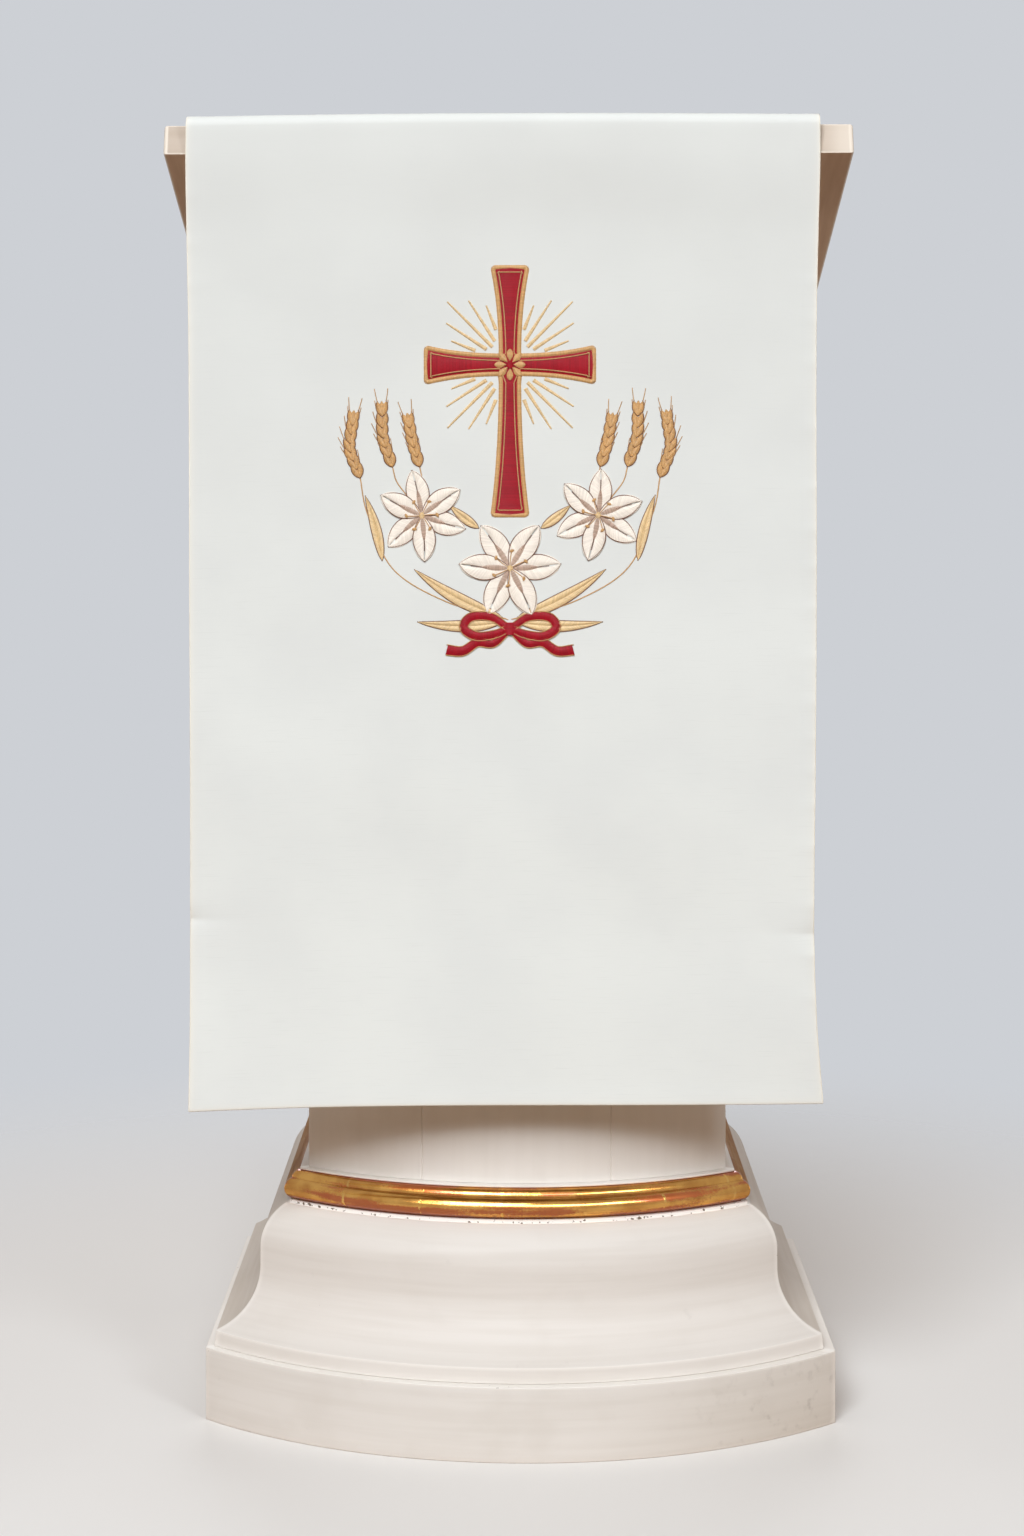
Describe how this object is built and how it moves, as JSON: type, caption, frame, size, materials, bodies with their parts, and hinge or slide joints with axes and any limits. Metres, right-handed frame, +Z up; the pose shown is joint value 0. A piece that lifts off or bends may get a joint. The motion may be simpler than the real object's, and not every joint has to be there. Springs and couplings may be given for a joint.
{
  "type": "lectern cover on a pedestal lectern",
  "caption": "Long white cloth cover that hangs down the front of a painted pedestal lectern, lies over its sloping desk and falls behind it.",
  "frame": {"origin": "on the floor, under the middle of the whole object", "axes": "+Z up; the cover hangs on the -Y side, which faces the congregation; +X is to the right as seen from there"},
  "size_m": [0.653, 0.5432, 1.2587],
  "materials": {
    "painted_wood": "brushed cream paint, eggshell sheen, lightly worn",
    "gilding": "gold leaf over red bole, polished, rubbed through in patches",
    "cover_cloth": "stiff interlined off-white cloth, smooth and matte with a slight satin"
  },
  "bodies": {
    "root": {"plinth": "painted_wood", "base_moulding": "painted_wood", "gilt_moulding": "gilding", "neck_fillet": "painted_wood", "shaft": "painted_wood", "desk_board": "painted_wood", "cover_cloth": "cover_cloth"}
  },
  "joints": []
}
